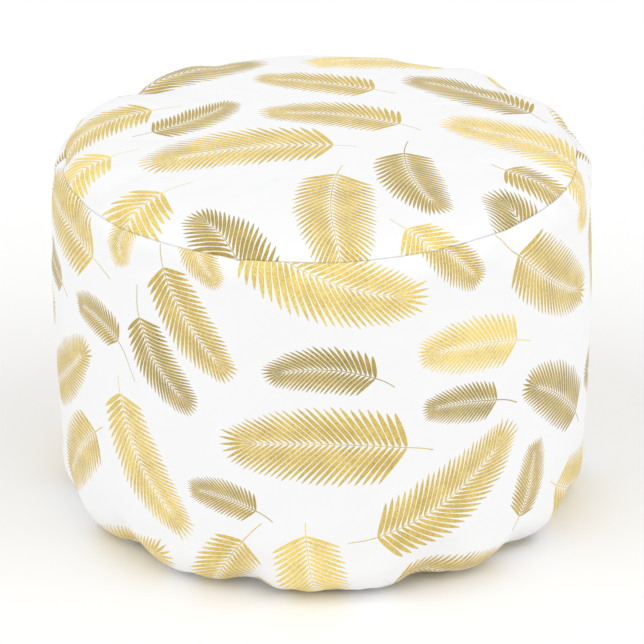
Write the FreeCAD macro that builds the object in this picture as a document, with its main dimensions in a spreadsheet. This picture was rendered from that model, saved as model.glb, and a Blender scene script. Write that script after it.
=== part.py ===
"""Round sewn fabric pouf, 508 mm across and 356 mm high, as a parametric FreeCAD document.

A printed cover (a round top, a side band in two halves, a base in two half-moons with a zipper
between them) holds an inner bag of loose filling. The frame has its origin on the floor under the
middle of the pouf, +Z up, and -Y is the front. Lengths are millimetres, angles are degrees.

Every cloth skin follows one outline: a flat base, a round base corner, a slightly bowed side, a
round top corner and a low crown. A skin's place is its depth under that outline.
"""

import FreeCAD
import Part
import math
import os

import Sketcher

SIZES = {
    # the whole pouf
    "diameter": 508,
    "height": 356,
    "side_bow": 3,
    "base_corner": 42,
    "top_corner": 28,
    "crown_rise": 5,
    # cloth and sewing
    "cloth": 1.0,
    "ply_gap": 0.2,
    "seam_gap": 0.8,
    "seam_allowance": 10,
    "top_seam_angle": 52,
    "base_seam_angle": 70,
    "thread": 0.6,
    "side_gap_angle": 0.09,
    # inner bag and filling, as depths under the outline
    "liner_depth": 3.8,
    "liner_cloth": 0.6,
    "liner_seam_angle": 45,
    "filling_depth": 4.6,
    # trough in the base that the zipper lies in; its wall is measured level
    "trough_length": 352,
    "trough_width": 32,
    "trough_height": 8,
    "trough_slope": 39,
    "trough_wall": 1.3,
    "slit_width": 10,
    "slit_length": 326,
    "liner_trough_width": 44,
    "liner_trough_length": 366,
    "liner_trough_top": 12.6,
    "liner_trough_wall": 0.8,
    # zipper
    "tape_length": 332,
    "tape_inner": 1.0,
    "tape_width": 12,
    "tape_bottom": 9.2,
    "tape_thick": 0.6,
    "coil_length": 294,
    "coil_pitch": 2.625,
    "coil_inner": 0.7,
    "coil_root": 2.3,
    "coil_outer": 3.3,
    "coil_bottom": 7.0,
    "coil_thick": 2.1,
    "tooth_width": 1.4,
    "stitch_offset": 7,
    "stop_length": 3,
    "stop_gap": 0.2,
    # slider and pull
    "slider_closed": 140,
    "slider_length": 12,
    "slider_width": 9,
    "plate_bottom": 5.5,
    "plate_thick": 1.1,
    "flange_thick": 0.8,
    "flange_top": 8.9,
    "neck_width": 0.8,
    "neck_length": 3,
    "upper_plate_bottom": 10.2,
    "bail_bottom": 2.0,
    "bail_bar": 1.1,
    "bail_width": 2,
    "bail_length": 7,
    "bail_post": 1.0,
    "pull_axis_height": 4.2,
    "pull_thick": 1.2,
    "pull_length": 24,
    "pull_width": 5.5,
    "pull_slot_length": 5.2,
    "pull_slot_width": 3,
    # label sewn to the inside of the base
    "label_length": 50,
    "label_width": 40,
    "label_y": 70,
    "label_bottom": 1.3,
    "label_thick": 0.6,
}

FRONT, BACK = 180, 0  # a piece built on the +Y side is turned about Z to face front or back

doc = FreeCAD.newDocument("pouf")
sheet = doc.addObject("Spreadsheet::Sheet", "Sizes")
for row, (alias, size) in enumerate(SIZES.items(), start=1):
    sheet.set(f"A{row}", alias)
    sheet.set(f"B{row}", str(size))
    sheet.setAlias(f"B{row}", alias)
doc.recompute()


def named(text):
    """An expression with every alias written as Sizes.alias."""
    words, word = [], ""
    for letter in text + " ":
        if letter.isalnum() or letter == "_":
            word += letter
            continue
        words.append(f"Sizes.{word}" if word in SIZES else word)
        words.append(letter)
        word = ""
    return "".join(words).strip()


def value(text):
    """What an expression over the sheet's aliases comes to."""
    found = sheet.evalExpression(named(text))
    return float(getattr(found, "Value", found))


# Places on the outline, as expressions over the sheet.
SIDE_RADIUS = "(diameter / 2 - side_bow)"
TOP_FLAT = "(diameter / 2 - side_bow - top_corner)"
BASE_FLAT = "(diameter / 2 - side_bow - base_corner)"
TOP_CENTRE = "(height - crown_rise - top_corner)"
HALF_SIDE = "((height - crown_rise - top_corner - base_corner) / 2)"
BOW_RADIUS = f"(({HALF_SIDE} ^ 2 + side_bow ^ 2) / (2 * side_bow))"
CROWN_RADIUS = f"(({TOP_FLAT} ^ 2 + crown_rise ^ 2) / (2 * crown_rise))"
LIP_DEPTH = "(cloth * 2 + ply_gap)"
INNER_LIP = "(cloth * 3 + ply_gap * 2)"


def at_top(angle, depth):
    """A point on the top corner, angle degrees above level, that far under the outline."""
    x = f"{TOP_FLAT} + (top_corner - {depth}) * cos(({angle}) * 1 deg)"
    z = f"{TOP_CENTRE} + (top_corner - {depth}) * sin(({angle}) * 1 deg)"
    return x, z


def at_base(angle, depth):
    """A point on the base corner, angle degrees below level, that far under the outline."""
    x = f"{BASE_FLAT} + (base_corner - {depth}) * cos(({angle}) * 1 deg)"
    z = f"base_corner - (base_corner - {depth}) * sin(({angle}) * 1 deg)"
    return x, z


def turn_of(length, corner):
    """The angle in degrees that a length of cloth takes up round a corner."""
    return f"(({length}) / ({corner}) * 180 / pi)"


def top_arc(depth):
    return f"top_corner - {depth}"


def base_arc(depth):
    return f"base_corner - {depth}"


def side_arc(depth):
    return f"{BOW_RADIUS} - {depth}"


def constrain_point(sketch, edge, end, across, up):
    """Ties one end of an edge to the sheet, by its distances from the sketch's origin."""
    for kind, axis, expression in (("DistanceX", -2, across), ("DistanceY", -1, up)):
        size = value(expression)
        if abs(size) < 1e-9:
            sketch.addConstraint(Sketcher.Constraint("PointOnObject", edge, end, axis))
        elif size > 0:
            index = sketch.addConstraint(Sketcher.Constraint(kind, -1, 1, edge, end, size))
            sketch.setExpression(f"Constraints[{index}]", named(expression))
        else:
            index = sketch.addConstraint(Sketcher.Constraint(kind, edge, end, -1, 1, -size))
            sketch.setExpression(f"Constraints[{index}]", named(f"-({expression})"))


def arc_between(start, end, radius, left):
    """An arc from start to end, and whether it runs anticlockwise. left: its centre is on the left."""
    chord = end - start
    rise = math.sqrt(max(radius**2 - (chord.Length / 2) ** 2, 0))
    side = FreeCAD.Vector(-chord.y, chord.x, 0).normalize()
    centre = (start + end) / 2 + side * (rise if left else -rise)
    circle = Part.Circle(centre, FreeCAD.Vector(0, 0, 1), radius)
    first, last = (start, end) if left else (end, start)
    angles = [math.atan2((p - centre).y, (p - centre).x) for p in (first, last)]
    return Part.ArcOfCircle(circle, *angles)


def outline(body, name, plane, corners, lift=None):
    """A closed sketch. Each corner is (across, up, edge to the next corner), an edge None or
    (radius, "left" or "right"), where left means that the arc's centre is left of the way round."""
    sketch = body.newObject("Sketcher::SketchObject", name)
    planes = {feature.Role: feature for feature in body.Origin.OriginFeatures}
    sketch.AttachmentSupport = [(planes[plane], "")]
    sketch.MapMode = "FlatFace"
    if lift:
        sketch.setExpression("AttachmentOffset.Base.z", named(lift))
    points = [FreeCAD.Vector(value(x), value(y), 0) for x, y, _ in corners]
    ends = []
    for index, (_, _, edge) in enumerate(corners):
        start, end = points[index], points[(index + 1) % len(points)]
        if edge is None:
            sketch.addGeometry(Part.LineSegment(start, end))
            ends.append((1, 2))
            continue
        left = edge[1] == "left"
        sketch.addGeometry(arc_between(start, end, value(edge[0]), left))
        ends.append((1, 2) if left else (2, 1))
    for index, (across, up, edge) in enumerate(corners):
        following = (index + 1) % len(corners)
        joint = (index, ends[index][1], following, ends[following][0])
        sketch.addConstraint(Sketcher.Constraint("Coincident", *joint))
        constrain_point(sketch, index, ends[index][0], across, up)
        if edge is not None:
            radius = Sketcher.Constraint("Radius", index, value(edge[0]))
            sketch.setExpression(f"Constraints[{sketch.addConstraint(radius)}]", named(edge[0]))
    doc.recompute()
    return sketch


def rectangle(body, name, plane, left, right, bottom, top, lift=None):
    corners = [(left, bottom, None), (right, bottom, None), (right, top, None), (left, top, None)]
    return outline(body, name, plane, corners, lift)


def new_body(label, turn=0):
    body = doc.addObject("PartDesign::Body", label)
    body.Label = label
    body.Placement = FreeCAD.Placement(
        FreeCAD.Vector(0, 0, 0), FreeCAD.Rotation(FreeCAD.Vector(0, 0, 1), turn)
    )
    doc.recompute()
    return body


def revolve(body, sketch, angle="360"):
    """Turns a section about Z, half of the angle to each side of the sketch's plane."""
    turned = body.newObject("PartDesign::Revolution", f"{body.Name}_turned")
    turned.Profile = sketch
    turned.ReferenceAxis = (sketch, ["V_Axis"])
    turned.Midplane = True
    turned.setExpression("Angle", named(angle))
    doc.recompute()
    return turned


def pad(body, sketch, length, both_ways=False, taper=None):
    raised = body.newObject("PartDesign::Pad", f"{sketch.Name}_pad")
    raised.Profile = sketch
    raised.Midplane = both_ways
    raised.setExpression("Length", named(length))
    if taper:
        raised.setExpression("TaperAngle", named(taper))
    doc.recompute()
    return raised


def pocket(body, sketch, length, taper=None):
    """Cuts upwards from the sketch's plane, and stops if that takes nothing away."""
    before = body.Shape.Volume
    cut = body.newObject("PartDesign::Pocket", f"{sketch.Name}_pocket")
    cut.Profile = sketch
    cut.Reversed = True
    cut.setExpression("Length", named(length))
    if taper:
        cut.setExpression("TaperAngle", named(taper))
    doc.recompute()
    assert body.Shape.Volume < before - 0.01, f"{sketch.Name} cut nothing"
    return cut


# ---- the cover ----


def top_panel():
    """The round top, with its seam allowance turned down inside the side band."""
    body = new_body("top_panel")
    wall = "top_seam_angle + " + turn_of("seam_gap / 2", "top_corner")
    fold = wall + " + " + turn_of("cloth", "top_corner")
    lip_end = "top_seam_angle - " + turn_of("seam_allowance", "top_corner")
    lip_outer = f"({LIP_DEPTH} + ply_gap)"
    corners = [
        ("0", "height", (CROWN_RADIUS, "right")),
        (*at_top("90", "0"), (top_arc("0"), "right")),
        (*at_top(wall, "0"), None),
        (*at_top(wall, lip_outer), (top_arc(lip_outer), "right")),
        (*at_top(lip_end, lip_outer), None),
        (*at_top(lip_end, INNER_LIP), (top_arc(INNER_LIP), "left")),
        (*at_top(fold, INNER_LIP), None),
        (*at_top(fold, "cloth"), (top_arc("cloth"), "left")),
        (*at_top("90", "cloth"), (CROWN_RADIUS, "left")),
        ("0", "height - cloth", None),
    ]
    revolve(body, outline(body, "top_section", "XZ_Plane", corners))
    return body


def side_panel(label, turn):
    """Half of the side band, with its top and bottom edges folded back inside it."""
    body = new_body(label, turn)
    lip_outer = "(cloth + ply_gap)"
    top_edge = "top_seam_angle - " + turn_of("seam_gap / 2", "top_corner")
    top_fold = top_edge + " - " + turn_of("cloth", "top_corner")
    top_lip = "top_seam_angle - " + turn_of("seam_allowance", "top_corner")
    base_edge = "base_seam_angle - " + turn_of("seam_gap / 2", "base_corner")
    base_fold = base_edge + " - " + turn_of("cloth", "base_corner")
    base_lip = "base_seam_angle - " + turn_of("seam_allowance", "base_corner")
    corners = [
        (*at_base(base_edge, "0"), (base_arc("0"), "left")),
        (*at_base("0", "0"), (side_arc("0"), "left")),
        (*at_top("0", "0"), (top_arc("0"), "left")),
        (*at_top(top_edge, "0"), None),
        (*at_top(top_edge, LIP_DEPTH), (top_arc(LIP_DEPTH), "right")),
        (*at_top(top_lip, LIP_DEPTH), None),
        (*at_top(top_lip, lip_outer), (top_arc(lip_outer), "left")),
        (*at_top(top_fold, lip_outer), None),
        (*at_top(top_fold, "cloth"), (top_arc("cloth"), "right")),
        (*at_top("0", "cloth"), (side_arc("cloth"), "right")),
        (*at_base("0", "cloth"), (base_arc("cloth"), "right")),
        (*at_base(base_fold, "cloth"), None),
        (*at_base(base_fold, lip_outer), (base_arc(lip_outer), "left")),
        (*at_base(base_lip, lip_outer), None),
        (*at_base(base_lip, LIP_DEPTH), (base_arc(LIP_DEPTH), "right")),
        (*at_base(base_edge, LIP_DEPTH), None),
    ]
    section = outline(body, f"{label}_section", "YZ_Plane", corners)
    revolve(body, section, "180 - 2 * side_gap_angle")
    return body


def trough(body, bottom, top, length, width, wall, wall_extra):
    """Raises a long trough with sloping walls of cloth into a flat skin that starts at bottom."""
    half_x, half_y = f"({length}) / 2", f"({width}) / 2"
    outer_x, outer_y = f"({half_x} + {wall_extra})", f"({half_y} + {wall_extra})"
    raised = rectangle(
        body, f"{body.Name}_wall", "XY_Plane",
        f"-{outer_x}", outer_x, f"-{outer_y}", outer_y, bottom,
    )
    pad(body, raised, f"{top} + {wall} - ({bottom})", taper="-trough_slope")
    hollow = rectangle(
        body, f"{body.Name}_hollow", "XY_Plane",
        f"-{half_x}", half_x, f"-{half_y}", half_y, bottom,
    )
    pocket(body, hollow, f"{top} - ({bottom})", taper="-trough_slope")


def base_panel(label, turn):
    """A half-moon of the base: flat, with its rim sewn inside the band and a zipper trough."""
    body = new_body(label, turn)
    wall = "base_seam_angle + " + turn_of("seam_gap / 2", "base_corner")
    fold = wall + " + " + turn_of("cloth", "base_corner")
    lip_end = "base_seam_angle - " + turn_of("seam_allowance", "base_corner")
    lip_outer = f"({LIP_DEPTH} + ply_gap)"
    corners = [
        ("0", "0", None),
        (*at_base("90", "0"), (base_arc("0"), "left")),
        (*at_base(wall, "0"), None),
        (*at_base(wall, lip_outer), (base_arc(lip_outer), "left")),
        (*at_base(lip_end, lip_outer), None),
        (*at_base(lip_end, INNER_LIP), (base_arc(INNER_LIP), "right")),
        (*at_base(fold, INNER_LIP), None),
        (*at_base(fold, "cloth"), (base_arc("cloth"), "right")),
        (*at_base("90", "cloth"), None),
        ("0", "cloth", None),
    ]
    revolve(body, outline(body, f"{label}_section", "XZ_Plane", corners))
    trough(body, "0", "trough_height", "trough_length", "trough_width", "cloth", "trough_wall")
    slit = rectangle(
        body, f"{label}_slit", "XY_Plane",
        "-slit_length / 2", "slit_length / 2", "-slit_width / 2", "slit_width / 2",
    )
    pocket(body, slit, "height / 2")
    half = rectangle(
        body, f"{label}_half", "XY_Plane",
        "-diameter / 2", "diameter / 2", "-diameter / 2", "seam_gap / 2",
    )
    pocket(body, half, "height / 2")
    return body


def ring_of_thread(label, across, up, thickness):
    """A seam's thread, as one ring that lies between the two plies."""
    ring = doc.addObject("Part::Torus", label)
    ring.Label = label
    ring.setExpression("Radius1", named(across))
    ring.setExpression("Radius2", named(f"{thickness} / 2"))
    ring.setExpression("Placement.Base.z", named(up))
    return ring


def side_seam_thread(label, turn):
    """The thread of an upright seam between the two halves of the side band."""
    body = new_body(label, turn)
    near, far = "ply_gap", "(ply_gap + thread)"
    low, high = "base_seam_angle - 4", "top_seam_angle - 4"
    corners = [
        (*at_base(low, near), (base_arc(near), "left")),
        (*at_base("0", near), (side_arc(near), "left")),
        (*at_top("0", near), (top_arc(near), "left")),
        (*at_top(high, near), None),
        (*at_top(high, far), (top_arc(far), "right")),
        (*at_top("0", far), (side_arc(far), "right")),
        (*at_base("0", far), (base_arc(far), "right")),
        (*at_base(low, far), None),
    ]
    section = outline(body, f"{label}_section", "XZ_Plane", corners)
    revolve(body, section, "side_gap_angle * 1.4")
    return body


def rod_along_x(label, start, length, side, up, thickness):
    """A straight thread along X. side is its Y."""
    rod = doc.addObject("Part::Cylinder", label)
    rod.Label = label
    rod.setExpression("Radius", named(f"{thickness} / 2"))
    rod.setExpression("Height", named(length))
    rod.Placement = FreeCAD.Placement(
        FreeCAD.Vector(0, 0, 0), FreeCAD.Rotation(FreeCAD.Vector(0, 1, 0), 90)
    )
    rod.setExpression("Placement.Base.x", named(start))
    rod.setExpression("Placement.Base.y", named(side))
    rod.setExpression("Placement.Base.z", named(up))
    return rod


def care_label():
    body = new_body("care_label")
    face = rectangle(
        body, "label_face", "XY_Plane",
        "-label_length / 2", "label_length / 2", "label_y", "label_y + label_width",
        "label_bottom",
    )
    pad(body, face, "label_thick")
    return body


# ---- the zipper ----


def zipper_tape(label, turn):
    body = new_body(label, turn)
    face = rectangle(
        body, f"{label}_face", "XY_Plane",
        "-tape_length / 2", "tape_length / 2", "tape_inner", "tape_inner + tape_width",
        "tape_bottom",
    )
    pad(body, face, "tape_thick")
    return body


def zipper_coil(label, turn):
    """One side of the chain: a row of teeth on a cord, extruded from a comb outline. The teeth are
    a quarter pitch off centre, so that the two sides, turned half round, are half a pitch apart."""
    half, pitch = value("coil_length / 2"), value("coil_pitch")
    inner, root, outer = value("coil_inner"), value("coil_root"), value("coil_outer")
    tooth = value("tooth_width")
    points = [(half, outer), (-half, outer), (-half, root)]
    first = math.ceil((-half + tooth) / pitch)
    middle = (first + 0.25) * pitch
    while middle + tooth / 2 < half:
        left, right = middle - tooth / 2, middle + tooth / 2
        points += [(left, root), (left, inner), (right, inner), (right, root)]
        middle += pitch
    points.append((half, root))
    level = value("coil_bottom")
    corners = [FreeCAD.Vector(x, y, level) for x, y in points]
    face = Part.Face(Part.makePolygon(corners + corners[:1]))
    coil = doc.addObject("Part::Feature", label)
    coil.Label = label
    coil.Shape = face.extrude(FreeCAD.Vector(0, 0, value("coil_thick")))
    coil.Placement = FreeCAD.Placement(
        FreeCAD.Vector(0, 0, 0), FreeCAD.Rotation(FreeCAD.Vector(0, 0, 1), turn)
    )
    return coil


def stop_box(name, start, near, far):
    """A block on the chain, from near to far in Y, that starts at X start."""
    box = doc.addObject("Part::Box", name)
    box.setExpression("Length", named("stop_length"))
    box.setExpression("Width", named(f"({far}) - ({near})"))
    box.setExpression("Height", named("coil_thick"))
    box.setExpression("Placement.Base.x", named(start))
    box.setExpression("Placement.Base.y", named(near))
    box.setExpression("Placement.Base.z", named("coil_bottom"))
    return box


def zipper_stops():
    """Two top stops, one on each tape, and one bottom stop across both."""
    start = "coil_length / 2 + stop_gap"
    pair = doc.addObject("Part::Compound", "zipper_top_stops")
    pair.Label = "zipper_top_stops"
    pair.Links = [
        stop_box("top_stop_back", start, "coil_inner", "coil_outer"),
        stop_box("top_stop_front", start, "-coil_outer", "-coil_inner"),
    ]
    bottom = stop_box(
        "zipper_bottom_stop", f"-({start}) - stop_length", "-coil_outer", "coil_outer"
    )
    bottom.Label = "zipper_bottom_stop"
    return [pair, bottom]


def zipper_slider():
    """Two plates joined by a neck between the teeth, flanges round the chain, and a bail below."""
    body = new_body("zipper_slider")
    half_x, half_y = "slider_length / 2", "slider_width / 2"
    plate_top = "plate_bottom + plate_thick"
    lower = rectangle(
        body, "lower_plate", "XY_Plane",
        f"-{half_x}", half_x, f"-{half_y}", half_y, "plate_bottom",
    )
    pad(body, lower, "plate_thick")
    for side in ("", "-"):
        edges = sorted(
            [f"{side}({half_y})", f"{side}({half_y} - flange_thick)"], key=value
        )
        flange = rectangle(
            body, "flange" + ("_front" if side else "_back"), "XY_Plane",
            f"-{half_x}", half_x, *edges, plate_top,
        )
        pad(body, flange, f"flange_top - ({plate_top})")
    neck = rectangle(
        body, "neck", "XY_Plane",
        f"{half_x} - neck_length", half_x, "-neck_width / 2", "neck_width / 2", plate_top,
    )
    pad(body, neck, f"upper_plate_bottom - ({plate_top})")
    upper = rectangle(
        body, "upper_plate", "XY_Plane",
        f"-{half_x}", half_x, f"-{half_y}", half_y, "upper_plate_bottom",
    )
    pad(body, upper, "plate_thick")
    post, inner = "bail_length / 2", "bail_length / 2 - bail_post"
    bar_top = "bail_bottom + bail_bar"
    corners = [
        (f"-({post})", "plate_bottom", None),
        (f"-({post})", "bail_bottom", None),
        (post, "bail_bottom", None),
        (post, "plate_bottom", None),
        (inner, "plate_bottom", None),
        (inner, bar_top, None),
        (f"-({inner})", bar_top, None),
        (f"-({inner})", "plate_bottom", None),
    ]
    bail = outline(body, "bail", "XZ_Plane", corners)
    pad(body, bail, "bail_width", both_ways=True)
    body.setExpression("Placement.Base.x", named("slider_closed"))
    return body


def zipper_pull():
    """A flat tab with a slot at one end, whose round end bar turns inside the slider's bail."""
    body = new_body("zipper_pull")
    half_width, half_slot = "pull_width / 2", "pull_slot_width / 2"
    level = "pull_axis_height - pull_thick / 2"
    shoulder = "-pull_length + pull_width / 2"
    corners = [
        ("0", f"-{half_width}", None),
        ("0", half_width, None),
        (shoulder, half_width, (half_width, "left")),
        ("-pull_length", "0", (half_width, "left")),
        (shoulder, f"-{half_width}", None),
    ]
    pad(body, outline(body, "tab", "XY_Plane", corners, level), "pull_thick")
    slot = rectangle(
        body, "slot", "XY_Plane",
        "-pull_slot_length", "0", f"-{half_slot}", half_slot, level,
    )
    pocket(body, slot, "pull_thick")
    round_edge = ("pull_thick / 2", "left")
    bar = outline(body, "end_bar", "XZ_Plane", [
        ("-pull_thick / 2", "pull_axis_height", round_edge),
        ("0", "pull_axis_height - pull_thick / 2", round_edge),
        ("pull_thick / 2", "pull_axis_height", round_edge),
        ("0", "pull_axis_height + pull_thick / 2", round_edge),
    ])
    pad(body, bar, "pull_width", both_ways=True)
    body.setExpression("Placement.Base.x", named("slider_closed"))
    return body


# ---- the inner bag and its filling ----


def liner_top():
    body = new_body("liner_top")
    near, far = "liner_depth", "(liner_depth + liner_cloth)"
    edge = "liner_seam_angle + " + turn_of("seam_gap / 2", "(top_corner - liner_depth)")
    corners = [
        ("0", f"height - {near}", (CROWN_RADIUS, "right")),
        (*at_top("90", near), (top_arc(near), "right")),
        (*at_top(edge, near), None),
        (*at_top(edge, far), (top_arc(far), "left")),
        (*at_top("90", far), (CROWN_RADIUS, "left")),
        ("0", f"height - {far}", None),
    ]
    revolve(body, outline(body, "liner_top_section", "XZ_Plane", corners))
    return body


def liner_band():
    body = new_body("liner_band")
    near, far = "liner_depth", "(liner_depth + liner_cloth)"
    high = "liner_seam_angle - " + turn_of("seam_gap / 2", "(top_corner - liner_depth)")
    low = "liner_seam_angle - " + turn_of("seam_gap / 2", "(base_corner - liner_depth)")
    corners = [
        (*at_base(low, near), (base_arc(near), "left")),
        (*at_base("0", near), (side_arc(near), "left")),
        (*at_top("0", near), (top_arc(near), "left")),
        (*at_top(high, near), None),
        (*at_top(high, far), (top_arc(far), "right")),
        (*at_top("0", far), (side_arc(far), "right")),
        (*at_base("0", far), (base_arc(far), "right")),
        (*at_base(low, far), None),
    ]
    revolve(body, outline(body, "liner_band_section", "XZ_Plane", corners))
    return body


def liner_base():
    """The bag's round base, which folds up over the zipper trough."""
    body = new_body("liner_base")
    near, far = "liner_depth", "(liner_depth + liner_cloth)"
    edge = "liner_seam_angle + " + turn_of("seam_gap / 2", "(base_corner - liner_depth)")
    corners = [
        ("0", near, None),
        (*at_base("90", near), (base_arc(near), "left")),
        (*at_base(edge, near), None),
        (*at_base(edge, far), (base_arc(far), "right")),
        (*at_base("90", far), None),
        ("0", far, None),
    ]
    revolve(body, outline(body, "liner_base_section", "XZ_Plane", corners))
    trough(
        body, near, "liner_trough_top", "liner_trough_length", "liner_trough_width",
        "liner_cloth", "liner_trough_wall",
    )
    return body


def filling():
    """The loose filling, as one body of the bag's inner shape."""
    body = new_body("filling")
    depth = "filling_depth"
    corners = [
        ("0", depth, None),
        (*at_base("90", depth), (base_arc(depth), "left")),
        (*at_base("0", depth), (side_arc(depth), "left")),
        (*at_top("0", depth), (top_arc(depth), "left")),
        (*at_top("90", depth), (CROWN_RADIUS, "left")),
        ("0", f"height - {depth}", None),
    ]
    revolve(body, outline(body, "filling_section", "XZ_Plane", corners))
    half_x = "(liner_trough_length / 2 + liner_trough_wall)"
    half_y = "(liner_trough_width / 2 + liner_trough_wall)"
    hollow = rectangle(
        body, "filling_hollow", "XY_Plane", f"-{half_x}", half_x, f"-{half_y}", half_y, depth
    )
    pocket(body, hollow, "liner_trough_top + liner_cloth * 2 - filling_depth", taper="-trough_slope")
    return body


def build():
    top_x, top_z = at_top("top_seam_angle", "cloth")
    base_x, base_z = at_base("base_seam_angle", "cloth")
    liner_middle = "(liner_depth + liner_cloth / 2)"
    liner_high = at_top("liner_seam_angle", liner_middle)
    liner_low = at_base("liner_seam_angle", liner_middle)
    join_start = "trough_length / 2 + 4"
    join_length = f"{BASE_FLAT} - ({join_start})"
    stitches = ("-tape_length / 2", "tape_length")
    under_hem = "trough_height - thread / 2 - ply_gap / 2"
    return [
        top_panel(),
        side_panel("side_panel_front", FRONT),
        side_panel("side_panel_back", BACK),
        base_panel("base_panel_front", FRONT),
        base_panel("base_panel_back", BACK),
        ring_of_thread("top_seam_thread", top_x, top_z, "thread"),
        ring_of_thread("base_seam_thread", base_x, base_z, "thread"),
        side_seam_thread("side_seam_thread_right", 0),
        side_seam_thread("side_seam_thread_left", 180),
        rod_along_x("base_join_thread_right", join_start, join_length, "0", "cloth / 2", "thread"),
        rod_along_x(
            "base_join_thread_left", f"-({join_start}) - ({join_length})", join_length,
            "0", "cloth / 2", "thread",
        ),
        care_label(),
        zipper_tape("zipper_tape_front", FRONT),
        zipper_tape("zipper_tape_back", BACK),
        zipper_coil("zipper_coil_front", FRONT),
        zipper_coil("zipper_coil_back", BACK),
        rod_along_x("zipper_stitching_front", *stitches, "-stitch_offset", under_hem, "thread"),
        rod_along_x("zipper_stitching_back", *stitches, "stitch_offset", under_hem, "thread"),
        *zipper_stops(),
        zipper_slider(),
        zipper_pull(),
        liner_top(),
        liner_band(),
        liner_base(),
        ring_of_thread("liner_top_thread", *liner_high, "thread"),
        ring_of_thread("liner_base_thread", *liner_low, "thread"),
        filling(),
    ]


def export(pieces):
    """Stops on any failed object or bad solid, then writes one STEP file per sub-part."""
    doc.recompute()
    failed = [o.Name for o in doc.Objects if {"Invalid", "Error"} & set(o.State)]
    assert not failed, f"failed objects: {failed}"
    for piece in pieces:
        shape = piece.Shape
        assert not shape.isNull() and shape.isValid(), f"{piece.Label} has no valid shape"
        assert shape.Solids and all(s.Volume > 0 for s in shape.Solids), piece.Label
    os.makedirs("parts", exist_ok=True)
    for piece in pieces:
        piece.Shape.exportStep(f"parts/{piece.Label}.step")
        box = piece.Shape.BoundBox
        print(
            f"{piece.Label:26s} solids {len(piece.Shape.Solids)}  volume {piece.Shape.Volume:12.1f}"
            f"  z {box.ZMin:7.2f} to {box.ZMax:7.2f}"
        )


export(build())
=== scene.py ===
"""Looks for the round fabric pouf: a stuffed, sewn cover with gold palm fronds printed on white
cloth, and a zipper under it. Lengths are metres, except that the print is laid out in millimetres
on the flat panels. Azimuth 0 is the front (-Y) and grows towards +X."""

import math

import bpy
import numpy as np
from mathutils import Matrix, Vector


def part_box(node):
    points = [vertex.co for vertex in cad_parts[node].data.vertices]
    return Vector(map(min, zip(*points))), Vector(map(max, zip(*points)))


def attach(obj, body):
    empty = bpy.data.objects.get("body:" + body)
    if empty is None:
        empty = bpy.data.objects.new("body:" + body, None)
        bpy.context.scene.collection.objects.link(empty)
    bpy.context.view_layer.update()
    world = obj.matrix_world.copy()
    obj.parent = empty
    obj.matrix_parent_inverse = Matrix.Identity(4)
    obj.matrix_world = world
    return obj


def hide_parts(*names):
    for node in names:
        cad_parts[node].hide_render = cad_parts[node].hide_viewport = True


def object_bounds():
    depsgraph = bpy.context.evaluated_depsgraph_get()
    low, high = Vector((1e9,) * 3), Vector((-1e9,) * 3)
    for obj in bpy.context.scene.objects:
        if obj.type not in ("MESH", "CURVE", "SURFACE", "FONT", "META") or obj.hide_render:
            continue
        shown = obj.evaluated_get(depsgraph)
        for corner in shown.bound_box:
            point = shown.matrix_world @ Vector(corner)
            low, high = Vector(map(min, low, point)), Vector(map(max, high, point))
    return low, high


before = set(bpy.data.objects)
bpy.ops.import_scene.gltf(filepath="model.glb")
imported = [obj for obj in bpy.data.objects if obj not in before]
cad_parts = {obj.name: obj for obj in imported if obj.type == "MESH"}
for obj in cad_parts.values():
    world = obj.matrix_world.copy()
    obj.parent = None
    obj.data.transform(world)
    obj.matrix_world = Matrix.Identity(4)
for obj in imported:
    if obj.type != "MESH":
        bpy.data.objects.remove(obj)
cad_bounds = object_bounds()

MM = 0.001
rng = np.random.default_rng(7)

# ---- the outline, from the CAD box ----

HEIGHT = cad_bounds[1].z
RADIUS = cad_bounds[1].y
SIDE_BOW = 3 * MM
BASE_CORNER = 42 * MM
TOP_CORNER = 28 * MM
CROWN_RISE = 5 * MM
RIM_RADIUS = RADIUS - SIDE_BOW
TOP_FLAT = RIM_RADIUS - TOP_CORNER
BASE_FLAT = RIM_RADIUS - BASE_CORNER
RIM_HEIGHT = HEIGHT - CROWN_RISE
CROWN_RADIUS = (TOP_FLAT**2 + CROWN_RISE**2) / (2 * CROWN_RISE)


def outline_points():
    """The outline from the middle of the top to the middle of the base, as (distance along the
    cloth, radius, height). Distance 0 is the rim, where the flat of the top ends."""
    points = [
        (r, HEIGHT - CROWN_RADIUS + math.sqrt(CROWN_RADIUS**2 - r * r))
        for r in np.linspace(0, TOP_FLAT, 60)
    ]
    start = len(points) - 1
    for a in np.linspace(math.pi / 2, 0, 40)[1:]:
        across = TOP_FLAT + TOP_CORNER * math.cos(a)
        points.append((across, RIM_HEIGHT - TOP_CORNER + TOP_CORNER * math.sin(a)))
    high, low = RIM_HEIGHT - TOP_CORNER, BASE_CORNER
    half = (high - low) / 2
    bow_radius = (half**2 + SIDE_BOW**2) / (2 * SIDE_BOW)
    for z in np.linspace(high, low, 90)[1:]:
        points.append((RADIUS - bow_radius + math.sqrt(bow_radius**2 - (z - low - half) ** 2), z))
    for a in np.linspace(0, math.pi / 2, 50)[1:]:
        points.append((BASE_FLAT + BASE_CORNER * math.cos(a), BASE_CORNER * (1 - math.sin(a))))
    for r in np.linspace(BASE_FLAT, 0, 60)[1:]:
        points.append((r, 0.0))
    points = np.array(points)
    steps = np.linalg.norm(np.diff(points, axis=0), axis=1)
    along = np.concatenate([[0], np.cumsum(steps)])
    return along - along[start], points[:, 0], points[:, 1]


ALONG, ACROSS, UP = outline_points()
TOP_MIDDLE, BASE_MIDDLE = ALONG[0], ALONG[-1]
BASE_SEAM = BASE_MIDDLE - BASE_FLAT - BASE_CORNER * math.radians(20)
# the top seam in millimetres: down from the rim, up towards +X, and down towards the front
SEAM_DOWN, SEAM_RISE, SEAM_DROP = 18.6, 3.4, 3


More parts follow.
